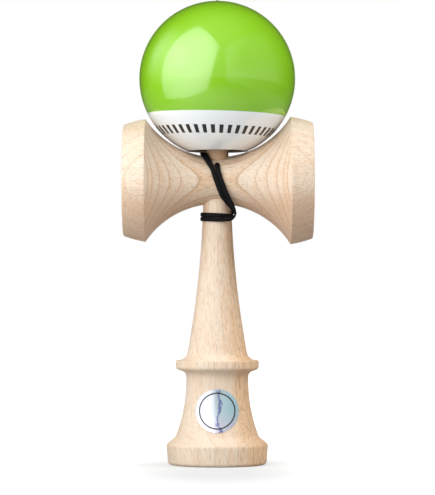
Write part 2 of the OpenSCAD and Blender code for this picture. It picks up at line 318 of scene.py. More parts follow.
def braided_tube(name, line, outward, width, run_start=0):
    """An oval ring at each point of the line: half the width sideways and half the thickness outwards,
    both times 1 plus a small cos(strands * angle) * cos(2 pi * run / pitch), which is the braid. The
    point attribute braid keeps that product for the yarn's finish. Lengths in millimetres."""
    heading = unit(np.gradient(line, axis=0))
    sideways = unit(np.cross(outward, heading))
    upward = np.cross(heading, sideways)
    run = run_start + np.r_[0, np.cumsum(np.linalg.norm(np.diff(line, axis=0), axis=1))]
    angle = np.linspace(0, 2 * np.pi, CORD_SIDES, endpoint=False)
    bumps = np.cos(BRAID_STRANDS * angle)[None, :] * np.cos(2 * np.pi * run / BRAID_PITCH)[:, None]
    swell = 1 + BRAID_DEPTH * bumps
    across = (width[:, None] / 2 * np.cos(angle) * swell)[..., None] * sideways[:, None, :]
    above = (CORD_THICKNESS / 2 * np.sin(angle) * swell)[..., None] * upward[:, None, :]
    grid = (line[:, None, :] + across + above) * MM
    piece = capped_grid(name, grid, line[0] * MM, line[-1] * MM)
    braid = piece.data.attributes.new("braid", "FLOAT", "POINT")
    braid.data.foreach_set("value", np.r_[bumps.ravel(), 0, 0].astype(np.float32))
    return piece


cut = np.argmin(np.linalg.norm(hanging - np.array(CLIMB_ROUTE[0]), axis=1))
loop, climb = hanging[:cut + 1], hanging[cut:]
plane_side = np.cross(unit(np.gradient(hanging, axis=0)), (-1, 0, 0))
same_width = np.full(len(hanging), CORD_WIDTH)
cord_strung = braided_tube("cord_strung", strung, outward, width)
cord_hanging = braided_tube("cord_hanging", loop, plane_side[:cut + 1], same_width[:cut + 1])
cord_climb = braided_tube("cord_climb", climb, plane_side[cut:], same_width[cut:], CORD_STEP * cut)
for piece in (cord_strung, cord_hanging, cord_climb):
    print(piece.name, len(piece.data.polygons), "faces")

# %% [markdown]
# ## Work on the lathe
# The handle, the crosspiece, the ball and the bead are all turned: a cutter follows an outline while
# the wood goes round. The Screw modifier can do the same with a drawn line. Here the outline is an
# array, because its corners can then be rounded by formula, and because the seal is later laid on the
# handle by looking the outline up.

# %% Outlines and turned shapes
ON_AXIS = 1e-9
CORNER_STEPS = 14


def rounded_corner(a, b, c, taken, steps):
    """The arc that rounds the corner b between a and c, and takes this length of both sides. Its radius
    is the length times the tangent of half the corner's angle, and its centre lies on the corner's
    middle line."""
    u = unit(a - b)
    v = unit(c - b)
    half = math.acos(float(np.clip(u @ v, -1, 1))) / 2
    radius = taken * math.tan(half)
    centre = b + unit(u + v) * radius / math.sin(half)
    p = b + u * taken - centre
    q = b + v * taken - centre
    start = math.atan2(p[1], p[0])
    turn = (math.atan2(q[1], q[0]) - start + 3 * math.pi) % (2 * math.pi) - math.pi
    angle = start + turn * np.linspace(0, 1, steps)
    return centre + radius * np.stack([np.cos(angle), np.sin(angle)], -1)


def turned_outline(corners):
    """A lathe outline from (radius, height, rounding) corners. A corner with no rounding stays as it
    is."""
    points = np.array([c[:2] for c in corners], float)
    stretches = [points[:1]]
    for i in range(1, len(corners) - 1):
        taken = corners[i][2]
        arc = rounded_corner(*points[i - 1:i + 2], taken, CORNER_STEPS) if taken else points[i:i + 1]
        stretches.append(arc)
    return np.vstack(stretches + [points[-1:]])


def turned(name, outline, sides, lies_along="z", centre=(0, 0, 0)):
    """Carries an outline of (radius, height) round an axis: (r cos a, r sin a, h). Points on the axis
    are poles. Along x, the height runs along x instead. Lengths in millimetres."""
    angle = np.linspace(0, 2 * np.pi, sides, endpoint=False)
    r, h = outline[:, 0], outline[:, 1]
    on_axis = r < ON_AXIS
    body = ~on_axis
    ring = np.stack([r[body, None] * np.cos(angle), r[body, None] * np.sin(angle),
                     np.broadcast_to(h[body, None], (body.sum(), sides))], -1)
    order = [0, 1, 2] if lies_along == "z" else [2, 0, 1]
    poles = [np.array([0, 0, h[k]])[order] if on_axis[k] else None for k in (0, -1)]
    poles = [None if p is None else (p + centre) * MM for p in poles]
    return capped_grid(name, (ring[..., order] + centre) * MM, *poles)


print("lathe ready")

# %% [markdown]
# ## Knots and the bead
# The cord ends in a knot at the back of the spike, and in a bead with a knot under it inside the ball.
# A knot could be a tube along a tied path, but so small and tight a one is a ball with slanting grooves
# between its wraps. A sphere whose radius follows a slanting cosine shows that, and stays one clean
# closed surface. The bead is turned.

# %% Knots
KNOT_ROWS = 40
KNOT_SIDES = 60
KNOT_WRAPS = 3
KNOT_SLANT = 2
KNOT_GROOVE = 0.1
KNOT_SQUEEZE = 0.84


def pulled_knot(name, centre, diameter, lies_along):
    """A sphere whose radius is half the diameter times 1 - groove + groove * cos(latitude) * cos(wraps
    * angle + slant * latitude), squeezed along the cord."""
    latitude = np.linspace(-np.pi / 2, np.pi / 2, KNOT_ROWS)[1:-1, None]
    angle = np.linspace(0, 2 * np.pi, KNOT_SIDES, endpoint=False)[None, :]
    fade = np.cos(latitude)
    wraps = np.cos(KNOT_WRAPS * angle + KNOT_SLANT * latitude)
    radius = diameter / 2 * (1 - KNOT_GROOVE + KNOT_GROOVE * fade * wraps)
    ring = np.stack([radius * fade * np.cos(angle), radius * fade * np.sin(angle),
                     radius * np.sin(latitude) * KNOT_SQUEEZE + 0 * angle], -1)
    tip = diameter / 2 * (1 - KNOT_GROOVE) * KNOT_SQUEEZE
    ends = np.array([[0, 0, -tip], [0, 0, tip]])
    order = [0, 1, 2]
    if lies_along == "y":
        order = [0, 2, 1]
        ring = ring[:, ::-1]
    return capped_grid(name, (ring[..., order] + centre) * MM, *((ends[:, order] + centre) * MM))


print("knots can be tied")

# %% The bead and both knots
BEAD_D = 8
BEAD_L = 6.2
BEAD_HOLE_R = 1.1
BEAD_STEPS = 40
BEAD_SIDES = 96
BALL_KNOT_D = 4.0
BALL_KNOT_DROP = 1.7
SPIKE_KNOT_D = 3.2
SPIKE_KNOT_Y = 2.7

bead_z = BEAD_LOW_Z + BEAD_L / 2
bead_angle = np.linspace(-1, 1, BEAD_STEPS) * math.asin(BEAD_L / BEAD_D)
bead_skin = np.stack([BEAD_D / 2 * np.cos(bead_angle), bead_z + BEAD_D / 2 * np.sin(bead_angle)], -1)
bead_bore = np.array([[BEAD_HOLE_R, bead_z + BEAD_L / 2], [BEAD_HOLE_R, bead_z - BEAD_L / 2],
                      bead_skin[0]])
string_bead = crisp_edges(turned("bead_in_ball", np.vstack([bead_skin, bead_bore]), BEAD_SIDES))
ball_knot = pulled_knot("knot_under_bead", (0, 0, BEAD_LOW_Z - BALL_KNOT_DROP), BALL_KNOT_D, "z")
spike_knot = pulled_knot("knot_in_spike", (0, SPIKE_KNOT_Y, CORD_HOLE_Z), SPIKE_KNOT_D, "y")
print("bead and two knots")

# %% [markdown]
# ## The turned handle
# The handle is one piece of beech. Its outline runs from the middle of the base cup, over the rim, up
# the foot, the grip, the ring and the neck, to the tip of the spike. Each corner has its own rounding,
# and the long bows of grip and neck are only very large roundings. An outline can't give a sideways
# hole, so the cord's hole and the pocket for its knot are drilled afterwards with a Boolean, as they
# are on the real one.

# %% Handle outline
BASE_CUP_R = 15.8
BASE_CUP_DEPTH = 7
DISH_STEPS = 40
SPIKE_R = 4.35
TAPER_TOP_Z = 117.5
HANDLE_CORNERS = [
    (BASE_CUP_R, 0, 0.25), (18.8, 0, 1.4), (19.4, 7.8, 0.9), (15.9, 10.7, 0.8), (11.85, 22.17, 10.22),
    (11.85, 35.1, 1.6), (15.85, 36.5, 0.9), (15.85, 39.8, 0.5), (11.9, 39.8, 3.2), (6.4, 70.42, 25.1),
    (NECK_TOP_R, SEAT_Z, 0), (SPIKE_R, TAPER_TOP_Z, 0), (2.7, 154.4, 1.4), (0, 154.9, 0)]


def dish(mouth_r, depth):
    """The hollow of a cup as (radius, depth below the mouth): a round arc from its middle to its mouth,
    with the arc's radius (mouth^2 + depth^2) / (2 depth)."""
    radius = (mouth_r**2 + depth**2) / 2 / depth
    angle = np.linspace(0, math.asin(mouth_r / radius), DISH_STEPS)
    return np.stack([radius * np.sin(angle), depth - radius * (1 - np.cos(angle))], -1)


base_hollow = dish(BASE_CUP_R, BASE_CUP_DEPTH)
handle_outline = turned_outline([(*base_hollow[-2], 0), *HANDLE_CORNERS])
handle_outline = np.vstack([base_hollow[:-2], handle_outline])
print("the handle's outline has", len(handle_outline), "points")

# %% Turn and drill the handle
HANDLE_SIDES = 192
CUTTER_SIDES = 48
CORD_HOLE_R = 1.1
POCKET_R = 2.1
POCKET_Y = 1.03
POCKET_OVERLAP = 0.5
PAST_SPIKE = 8
SLIVER = 1e-7


def drill(piece, cutter):
    """Cuts the cutter's shape out of a piece, throws the cutter away and clears slivers under 0.1
    micron."""
    boolean = piece.modifiers.new("drill", "BOOLEAN")
    boolean.object = cutter
    boolean.operation = "DIFFERENCE"
    boolean.solver = "EXACT"
    bpy.context.view_layer.update()
    drilled = bpy.data.meshes.new_from_object(piece.evaluated_get(bpy.context.evaluated_depsgraph_get()))
    piece.modifiers.clear()
    clean = bmesh.new()
    clean.from_mesh(drilled)
    bmesh.ops.remove_doubles(clean, verts=clean.verts, dist=SLIVER)
    bmesh.ops.dissolve_degenerate(clean, edges=clean.edges, dist=SLIVER)
    clean.to_mesh(drilled)
    clean.free()
    piece.data = drilled
    bpy.data.objects.remove(cutter)


def round_cutter(radius, start, end):
    """A closed cylinder along y at the height of the cord's hole, to drill with, from start to end."""
    angle = np.linspace(0, 2 * np.pi, CUTTER_SIDES, endpoint=False)
    x, z = radius * np.cos(angle), CORD_HOLE_Z + radius * np.sin(angle)
    ring = np.stack([np.stack([x, np.full_like(x, y), z], -1) for y in (end, start)])
    poles = np.array([[0, end, CORD_HOLE_Z], [0, start, CORD_HOLE_Z]])
    return capped_grid("cutter", ring * MM, *(poles * MM))


handle = turned("turned_handle", handle_outline, HANDLE_SIDES)
drill(handle, round_cutter(CORD_HOLE_R, -PAST_SPIKE, POCKET_Y + POCKET_OVERLAP))
drill(handle, round_cutter(POCKET_R, POCKET_Y, PAST_SPIKE))
crisp_edges(handle)
handle_box = np.round(np.array(handle.bound_box)[[0, 6]] / MM, 2)
print("handle:", len(handle.data.polygons), "faces, box", handle_box.tolist())

# %% [markdown]
# ## The crosspiece
# The two cups are turned from one piece, on an axis across the toy. Two cones and a cylinder would miss
# what makes it look right: between the cups the outline is an arc that the ball nests in, and each rim
# is a band that bulges a little. The hole for the spike is a cone, because the piece is held on a
# taper, and a small hole at the front lets the cord out.

# %% Crosspiece outline
FLARE_R = 33.2
FLARE_MID = 42.15
FLARE_STEPS = 70
BAND_W = 8.5
BAND_BULGE = 0.35
LIP_W = 1.7
CUP_DEPTH = 9
RIDGE_ROUNDING = 0.22
BULGE_ROUNDING = BAND_W * 0.42
MOUTH_ROUNDING = 0.6
LIP_ROUNDING = 0.35
BIG_RIDGE_R = 24.4
BIG_MOUTH_R = 22.2
SMALL_RIDGE_R = 23.5
SMALL_MOUTH_R = 21.2


def half_outline(ridge_r, mouth_r):
    """From the waist out to the middle of one cup: the flare's arc r = middle - sqrt(R^2 - x^2), the
    bulging band, the lip and the hollow."""
    ridge_x = math.sqrt(FLARE_R**2 - (FLARE_MID - ridge_r) ** 2)
    along = ridge_x * np.linspace(0, 1, FLARE_STEPS)
    flare = np.stack([FLARE_MID - np.sqrt(FLARE_R**2 - along**2), along], -1)
    mouth_x = ridge_x + BAND_W
    bulge_r = (ridge_r + mouth_r) / 2 + BAND_BULGE
    lip_r = mouth_r - LIP_W
    hollow = dish(lip_r, CUP_DEPTH) * (1, -1) + (0, mouth_x)
    rim = turned_outline([
        (*flare[-2], 0), (ridge_r, ridge_x, RIDGE_ROUNDING),
        (bulge_r, (ridge_x + mouth_x) / 2, BULGE_ROUNDING), (mouth_r, mouth_x, MOUTH_ROUNDING),
        (lip_r, mouth_x, LIP_ROUNDING), (*hollow[-3], 0)])
    return np.vstack([flare[:-2], rim, hollow[-4::-1]])


big_half = half_outline(BIG_RIDGE_R, BIG_MOUTH_R)
small_half = half_outline(SMALL_RIDGE_R, SMALL_MOUTH_R) * (1, -1)
cross_outline = np.vstack([small_half[:0:-1], big_half])
print("the crosspiece's outline has", len(cross_outline), "points")

# %% Turn and drill the crosspiece
CROSS_SIDES = 224
BORE_SIDES = 96
BORE_PAST = 1
FIT_GAP = 0.05
PAST_WAIST = 12

crosspiece = turned("turned_crosspiece", cross_outline, CROSS_SIDES, "x", np.array([0, 0, CROSS_Z]))
taper = (NECK_TOP_R - SPIKE_R) / (TAPER_TOP_Z - SEAT_Z) * BORE_PAST
bore_low = SEAT_Z - BORE_PAST
bore_top = TAPER_TOP_Z + BORE_PAST
bore_outline = np.array([[0, bore_low], [NECK_TOP_R + FIT_GAP + taper, bore_low],
                         [SPIKE_R + FIT_GAP - taper, bore_top], [0, bore_top]])
drill(crosspiece, turned("cutter", bore_outline, BORE_SIDES))
drill(crosspiece, round_cutter(CORD_HOLE_R, -PAST_WAIST, 0))
crisp_edges(crosspiece)
print("crosspiece:", len(crosspiece.data.polygons), "faces")

# %% [markdown]
# ## The ball
# The ball is a sphere with a wide hole for the spike, a drill point at the end of that hole and a small
# hole in the crown, both with a bevel at the mouth. Booleans would cut the holes, but one outline makes
# it all, as a ring with no poles, and its faces stay even.

# %% Ball
HOLE_R = 10.9
MOUTH_R = 11.7
BEVEL_W = 0.8
HOLE_TOP_Z = 162.8
DRILL_H = 6.549
CROWN_HOLE_R = 1.5
CROWN_BEVEL = 0.9
SKIN_STEPS = 150
SHAFT_STEPS = 24
BALL_SIDES = 256

mouth_z = BALL_Z - math.sqrt(BALL_R**2 - MOUTH_R**2)
# The crown's bevel rises at 45 degrees from its hole, and meets the sphere at the radius crown_r.
reach = BALL_R - CROWN_BEVEL - CROWN_HOLE_R
crown_r = (math.sqrt(2 * BALL_R**2 - reach**2) - reach) / 2
polar = np.linspace(math.asin(crown_r / BALL_R), math.pi - math.asin(MOUTH_R / BALL_R), SKIN_STEPS)
skin = np.stack([BALL_R * np.sin(polar), BALL_Z + BALL_R * np.cos(polar)], -1)
drill_low = HOLE_TOP_Z + DRILL_H * (1 - CROWN_HOLE_R / HOLE_R)
shaft_z = np.linspace(mouth_z + BEVEL_W, HOLE_TOP_Z, SHAFT_STEPS)
shaft = np.stack([np.full(SHAFT_STEPS, HOLE_R), shaft_z], -1)
inside = np.array([[CROWN_HOLE_R, drill_low], [CROWN_HOLE_R, BALL_Z + BALL_R - CROWN_BEVEL], skin[0]])
ball = turned("lacquered_ball", np.vstack([skin, shaft, inside])[::-1], BALL_SIDES)
crisp_edges(ball)
print(f"ball: centre at {BALL_Z:.2f} mm, {len(ball.data.polygons)} faces")

# %% [markdown]
# ## The seal on the grip
# A round of foil follows the bow of the grip. A flat disc could be pulled on with Shrinkwrap, but the
# grip's outline is known. In its own plane the seal is a disc, with points at a distance and an angle
# from its middle, and each point is laid on the grip by looking up the grip's radius at that height.

# %% Foil seal
SEAL_R = 8.2
SEAL_Z = 20.95
SEAL_GAP = 0.03
SEAL_T = 0.15
SEAL_ROWS = 40
SEAL_SIDES = 96
SEAL_MIDDLE = 0.02
GRIP_LOW_Z = 10.75
GRIP_TOP_Z = 34
GRIP_MAX_R = 16


def laid_on_grip(x, height, above):
    """A point of the disc, moved back until it lies this far off the grip: y = -sqrt(radius^2 -
    x^2)."""
    grip = handle_outline[(handle_outline[:, 1] > GRIP_LOW_Z) & (handle_outline[:, 1] < GRIP_TOP_Z)]
    grip = grip[grip[:, 0] < GRIP_MAX_R]
    grip = grip[np.argsort(grip[:, 1])]
    radius = np.interp(height, grip[:, 1], grip[:, 0]) + above
    return np.stack([x, -np.sqrt(radius**2 - x**2), height], -1)


seal_top = SEAL_GAP + SEAL_T
outwards = np.linspace(SEAL_MIDDLE, 1, SEAL_ROWS)
inwards = np.linspace(1, SEAL_MIDDLE, SEAL_ROWS)
spread = np.r_[outwards, inwards][:, None] * SEAL_R
lift = np.r_[np.full(SEAL_ROWS, seal_top), np.full(SEAL_ROWS, SEAL_GAP)][:, None]
disc = np.linspace(2 * np.pi, 0, SEAL_SIDES, endpoint=False)[None, :]
seal_grid = laid_on_grip(spread * np.cos(disc), SEAL_Z + spread * np.sin(disc), lift + 0 * disc)
seal_poles = laid_on_grip(np.zeros(2), np.full(2, SEAL_Z), np.array([seal_top, SEAL_GAP]))
seal = crisp_edges(capped_grid("foil_seal_round", seal_grid * MM, *(seal_poles * MM)))
print("seal:", len(seal.data.polygons), "faces")

# %% [markdown]
# ## Writing a finish as arithmetic
# A material is a graph of nodes, but most of it is plain arithmetic on numbers. Nodes can be placed by
# hand, but a formula is easier to read. The small class below wraps a socket, so that an expression
# such as 1 - mask adds its Math nodes by itself.

# %% Numbers of a finish
class Number:
    """A socket with arithmetic: each operator adds a Math node to the finish."""

    def __init__(self, finish, socket):
        self.finish = finish
        self.socket = socket

    def math(self, operation, *values):
        """A Math node on these values."""
        return self.finish.node("ShaderNodeMath", {"operation": operation}, dict(enumerate(values)))

    def __add__(self, other):
        return self.math("ADD", self, other)

    def __sub__(self, other):
        return self.math("SUBTRACT", self, other)

    def __rsub__(self, other):
        return self.math("SUBTRACT", other, self)

    def __mul__(self, other):
        return self.math("MULTIPLY", self, other)

    def __truediv__(self, other):
        return self.math("DIVIDE", self, other)

    def __pow__(self, other):
        return self.math("POWER", self, other)

    __radd__ = __add__
    __rmul__ = __mul__

    def apply(self, operation):
        """A Math node that takes one value, such as a square root."""
        return self.math(operation, self)

    def ramp(self, low, high):
        """0 below low, 1 above high, and a smooth S between. It falls where low is the larger."""
        if low > high:
            return 1 - self.ramp(high, low)
        settings = {"interpolation_type": "SMOOTHSTEP"}
        inputs = {"Value": self, "From Min": low, "From Max": high}
        return self.finish.node("ShaderNodeMapRange", settings, inputs)


print("numbers ready")

# %% [markdown]
# Every other node comes from one method of the graph that it belongs to: a type, its settings, and the
# values or links of its sockets. A finish is such a graph with a Principled shader, and lamps and the
# studio have graphs too.

# %% Graphs and finishes
class Graph:
    """A node tree, with one method that adds any node and a few that give its usual results a short
    name."""

    def __init__(self, tree):
        self.tree = tree

    def put(self, socket, value):
        """Links a socket, or sets its value where it is a plain number or a colour."""
        if isinstance(value, Number):
            self.tree.links.new(value.socket, socket)
        elif socket.type == "RGBA":
            socket.default_value = (*value, 1)
        else:
            socket.default_value = value

    def node(self, kind, settings=None, inputs=None, output=0):
        """Adds a node: first its settings, then its sockets by name or number. The result is one of its
        outputs."""
        made = self.tree.nodes.new(kind)
        for key, value in (settings or {}).items():
            setattr(made, key, value)
        for key, value in (inputs or {}).items():
            self.put(made.inputs[key], value)
        return Number(self, made.outputs[output])

    def also(self, number, output):
        """Another output of the node that this number comes from."""
        return Number(self, number.socket.node.outputs[output])

    def axes(self, vector):
        """The three numbers of a point."""
        x = self.node("ShaderNodeSeparateXYZ", inputs={0: vector})
        return [x, self.also(x, 1), self.also(x, 2)]

    def point(self, x, y, z):
        """The point that has these three numbers."""
        return self.node("ShaderNodeCombineXYZ", inputs={0: x, 1: y, 2: z})

    def noise(self, vector, detail=2.0, rough=0.5):
        """Cloudy noise, with a grain one unit wide and this many finer layers."""
        inputs = {"Vector": vector, "Scale": 1.0, "Detail": detail, "Roughness": rough}
        return self.node("ShaderNodeTexNoise", None, inputs)

    def mix(self, share, first, second):
        """The first colour where the share is 0, the second where it is 1."""
        return self.node("ShaderNodeMix", {"data_type": "RGBA"}, {0: share, 6: first, 7: second}, 2)

    def seen_as_backdrop(self):
        """1 for rays from the camera, and 1 for rays off or through a shiny surface, as two numbers."""
        camera_ray = self.node("ShaderNodeLightPath", output="Is Camera Ray")
        glossy_ray = self.also(camera_ray, "Is Glossy Ray")
        return camera_ray, glossy_ray + self.also(camera_ray, "Is Transmission Ray")


class Finish(Graph):
    """A material, its Principled shader, and the nodes that feed it."""

    def __init__(self, name, **constants):
        self.material = bpy.data.materials.new(name)
        self.material.use_nodes = True
        super().__init__(self.material.node_tree)
        self.shader = self.tree.nodes["Principled BSDF"]
        self.feed(**constants)

    def feed(self, **sockets):
        """Sets the shader's sockets, with _ for each space in a name."""
        for key, value in sockets.items():
            self.put(self.shader.inputs[key.replace("_", " ")], value)

    def place(self):
        """The point on the piece, as three numbers in millimetres."""
        return [axis / MM for axis in self.axes(self.node("ShaderNodeTexCoord", output="Object"))]

    def bump(self, height, depth_mm, strength=1.0):
        """Small relief: a height of 1 stands this many millimetres proud."""
        inputs = {"Height": height, "Distance": depth_mm * MM, "Strength": strength}
        self.feed(Normal=self.node("ShaderNodeBump", None, inputs))


print("graphs ready")

# %% [markdown]
# ## Beech
# Beech is pale and a little pink. A plank of it shows three things: growth rings, which are thin darker
# lines where one year's wood ends, short dark flecks where the rays are cut, and fine fibres along the
# grain. A picture of wood would have to be wrapped round each shape, and would show its seams. But the
# grain is solid: it goes through the wood, and turning only uncovers it. So the finish is worked out
# from the point in space, and the arcs on the flares and the ovals on the rims come by themselves.

# %% Beech finish
PALE = (0.80, 0.685, 0.56)
WARM = (0.73, 0.485, 0.285)
LATE = (0.47, 0.325, 0.22)
FLECK = (0.33, 0.205, 0.115)
# The next colour is painted shade, for a shaded side of a piece.
SHADE_BROWN = (0.56, 0.33, 0.195)
# The next colour is painted shade, for the dark inside of a hole.
SHADE_DARK = (0.03, 0.02, 0.013)
NOWHERE = 1000
DASH_EDGE = (0.53, 0.26)


def flecks(wood, across, y, along, width, length, share):
    """Short dark dashes: the middle of each cell of a pattern that is stretched along the grain, in
    this share of the cells."""
    cell = {"Vector": wood.point(across / width, y / width, along / length), "Scale": 1.0}
    middle = wood.node("ShaderNodeTexVoronoi", None, cell)
    chance = wood.axes(wood.also(middle, "Color"))[0]
    return middle.ramp(*DASH_EDGE) * chance.ramp(1 - share, 1.4 - share)


def beech(name, grain, pith, ring_mm, line, heart_and_shade, fleck=0.6, hole_shade=0.0,
          faint_from=NOWHERE, warm_from=NOWHERE, brown_side=(NOWHERE, NOWHERE + 1)):
    """Rings are circles round a pith that runs along the grain: the distance to it, over the ring's
    width, counts the rings, and its fraction says how far through a year's growth the point is. A year
    ends in a thin dark line. The wood is warmer between two distances from the pith, towards it: a
    heartwood tone, and painted shade where the pith is set off to one side of the piece. It is warmer
    from a set height along the grain, which is painted shade, and browner between two places across it,
    which is painted shade too. The lines are faint from faint_from along it. A last darkening over all
    of it is painted shade."""
    wood = Finish(name, IOR=1.45)
    x, y, z = wood.place()
    along, across = (z, x) if grain == "z" else (x, z)

    def patches(width, length, detail, rough=0.5):
        """Noise in patches this wide across the grain and this long along it."""
        return wood.noise(wood.point(across / width, y / width, along / length), detail, rough)

    from_pith = ((across - pith[0]) ** 2 + (y - pith[1]) ** 2).apply("SQRT")
    good_years = wood.noise(wood.point(from_pith / 6, 0.5, 0.5), 0)
    rings = (from_pith + patches(26, 80, 1) * 3 + patches(1.5, 13, 2) * 0.4 + good_years * 3) / ring_mm
    year = rings.apply("FRACT")
    chance = wood.node("ShaderNodeTexWhiteNoise", {"noise_dimensions": "1D"}, {"W": rings.apply("FLOOR")})
    year_end = year.ramp(0.82, 0.96) * year.ramp(1.0, 0.98) * (0.35 + chance * 0.65)
    line = line * (1 - 0.7 * along.apply("ABSOLUTE").ramp(faint_from, faint_from + 1))

    fine = flecks(wood, across, y, along, 0.35, 5.2, 0.9)
    bold = flecks(wood, across + 40, y, along, 0.48, 7.0, 0.4)
    rays = (fine * 0.7 + bold * 0.75).ramp(0.0, 1.1) * (0.5 + 0.5 * from_pith.ramp(*heart_and_shade))
    fibre = patches(0.3, 10, 3, 0.65)
    streak = patches(1.1, 60, 3, 0.6)
    cloud = patches(7, 50, 3)
    # Warmer towards the pith: heartwood tone, and painted shade where the pith is off to one side. Warmer
    # from a set height along the grain: painted shade.
    warm = from_pith.ramp(*heart_and_shade) * 0.55 + along.ramp(warm_from, warm_from + 6) * 0.7
    tone = (warm + cloud.ramp(0.3, 0.75) * 0.25 + year.ramp(0.3, 1.0) * 0.5 * line
            + (chance - 0.5) * 0.5 * line + (fibre - 0.5) * 0.8 + (streak - 0.5) * 0.9)

    colour = wood.mix(tone.ramp(-0.2, 1.0), PALE, WARM)
    # Browner between two places across the grain: painted shade on a shaded side.
    colour = wood.mix(across.ramp(*brown_side) * 0.5, colour, SHADE_BROWN)
    colour = wood.mix(year_end * line, colour, LATE)
    colour = wood.mix(rays * fleck, colour, FLECK)
    # A darkening over all of it: painted shade, for the inside of a hole.
    if hole_shade:
        colour = wood.mix(hole_shade, colour, SHADE_DARK)
    wood.feed(Base_Color=colour, Roughness=0.46 + fibre * 0.14 + rays * 0.12)
    wood.bump(1 - rays * 0.7 - fibre * 0.5, 0.04)
    return wood.material


# The handle's pith lies off to its right, so its right side is warmer: partly a real warm streak, partly
# painted shade on the side away from the key lamp. The spike from 112 mm up is warmer: painted shade of
# the gap under the ball.
handle_wood = beech("handle_beech", "z", pith=(58, 22), ring_mm=4.2, line=0.18, heart_and_shade=(64.5, 57),
                    fleck=0.75, warm_from=112)
# The crosspiece is browner below its middle: painted shade on its underside.
cross_wood = beech("crosspiece_beech", "x", pith=(110, 66), ring_mm=2.4, line=0.75, heart_and_shade=(80, 52),
                   fleck=0.95, faint_from=27, brown_side=(108, 97))
# The hole's wood is darkened all over: painted shade inside the ball's hole.
hole_wood = beech("bare_hole_beech", "z", pith=(3, 50), ring_mm=3.3, line=0.3, heart_and_shade=(80, 60),
                  hole_shade=0.75)
print("three cuts of beech")

# %% [markdown]
# ## Lacquer on the ball
# The ball is dipped or sprayed: lime green above, white below, with one clean edge between. Two
# materials would leave a stepped edge along the faces, so one material holds both paints. The edge is a
# plane through the ball, a little out of level, and the paint is told by how high the point lies above
# that plane. A ring of plain ticks is printed on the white. Gloss is a clear coat over the paint.

# %% Lacquer finish
LIME = (0.24, 0.575, 0.004)
WHITE = (0.90, 0.955, 0.99)
INK = (0.012, 0.012, 0.013)
PAINT_EDGE = -13.9
PAINT_SOFT = 0.07
PAINT_TILT = math.radians(1.3)
TICK_COUNT = 44
TICK_TOP = -18.9
TICK_FOOT = -21.9
TICK_SOFT = 0.06
TICK_HALF = 0.48 / 2
TICK_SIDE_SOFT = 0.02
PEEL_MM = 5

lacquer = Finish("ball_lacquer", Roughness=0.18, IOR=1.5, Coat_Roughness=0.09, Coat_IOR=1.8)
x, y, z = lacquer.place()
level = (z - BALL_Z) * math.cos(PAINT_TILT) + x * math.sin(PAINT_TILT)
around = x.math("ARCTAN2", x, y) * (TICK_COUNT / 2 / math.pi)
from_tick = (around.apply("FRACT") - 0.5).apply("ABSOLUTE")
tick = from_tick.ramp(TICK_HALF + TICK_SIDE_SOFT, TICK_HALF - TICK_SIDE_SOFT)
tick = tick * level.ramp(TICK_FOOT - TICK_SOFT, TICK_FOOT + TICK_SOFT)
tick = tick * level.ramp(TICK_TOP + TICK_SOFT, TICK_TOP - TICK_SOFT)
green = level.ramp(PAINT_EDGE - PAINT_SOFT, PAINT_EDGE + PAINT_SOFT)
paint = lacquer.mix(green, lacquer.mix(tick, WHITE, INK), LIME)
lacquer.feed(Base_Color=paint, Coat_Weight=1 - tick * 0.9)
peel = lacquer.noise(lacquer.point(x / PEEL_MM, y / PEEL_MM, z / PEEL_MM), 2)
lacquer.bump(peel, 0.01, 0.3)
print("lacquer in two colours with", TICK_COUNT, "ticks")

# %% [markdown]
# The lacquer ends at the mouths of the holes, and inside them the wood is bare. Which faces are which
# could be picked by hand. Here it is told by how far a face lies below the ball's skin.

# %% Lacquer outside, bare wood inside
BARE_DEPTH = 0.1

ball.data.materials.append(lacquer.material)
ball.data.materials.append(hole_wood)
centres = np.empty(len(ball.data.polygons) * 3)
ball.data.polygons.foreach_get("center", centres)
below_skin = BALL_R - np.linalg.norm(centres.reshape(-1, 3) / MM - (0, 0, BALL_Z), axis=1)
bare = below_skin > BARE_DEPTH
ball.data.polygons.foreach_set("material_index", bare.astype(np.int32))
print("bare faces in the hole:", int(bare.sum()))

# %% [markdown]
# ## Cord, bead and foil
# The cord is black yarn: dark and rough with a soft sheen. The crowns of the braid are a little
# greyer and its grooves darker, which is a painted highlight and painted shade. The tube already
# carries its braid as an attribute, so the tone follows the diamonds exactly. The bead is plain black
# plastic.

# %% Yarn and plastic
YARN_DARK = (0.0015, 0.0015, 0.0018)
YARN_LIGHT = (0.016, 0.0145, 0.0175)
FUZZ_MM = 0.16
BEAD_DARK = (0.02, 0.02, 0.021)
BEAD_LIGHT = (0.04, 0.04, 0.042)

yarn = Finish("black_braid", Specular_IOR_Level=0.12, IOR=1.45)
crowns = yarn.node("ShaderNodeAttribute", {"attribute_name": "braid"}, output="Fac")
x, y, z = yarn.place()
fuzz = yarn.noise(yarn.point(x / FUZZ_MM, y / FUZZ_MM, z / FUZZ_MM), 3, 0.6)
# Lighter on the crowns and darker in the grooves of the braid: a painted highlight and painted shade,
# mixed with real fuzz.
braid_highlight_and_fuzz = crowns.ramp(-0.7, 1.0) * 0.65 + fuzz * 0.35
yarn.feed(Base_Color=yarn.mix(braid_highlight_and_fuzz, YARN_DARK, YARN_LIGHT), Roughness=0.6 + fuzz * 0.25)
yarn.bump(fuzz, 0.04, 0.6)

plastic = Finish("black_bead", IOR=1.5)
x, y, z = plastic.place()
mottle = plastic.noise(plastic.point(x, y, z), 3)
plastic.feed(Base_Color=plastic.mix(mottle, BEAD_DARK, BEAD_LIGHT), Roughness=0.4 + mottle * 0.2)
print("yarn and plastic")

# %% [markdown]
# The seal is a thin metal film whose tint wanders from silver to pale blue and lilac, with a dark
# crease and a thin printed ring. A mirror-like metal would only show the dim room, so the film is half
# metal, and its tints are mixed by place and by soft noise.

# %% Foil
SILVER = (0.60, 0.61, 0.69)
SKY = (0.44, 0.70, 0.78)
LILAC = (0.70, 0.62, 0.78)
CREASE = (0.10, 0.14, 0.42)
CREASE_X = 0.7
FOIL_METAL = 0.55
RING_INNER = (6.35, 6.5)
RING_OUTER = (7.0, 6.85)

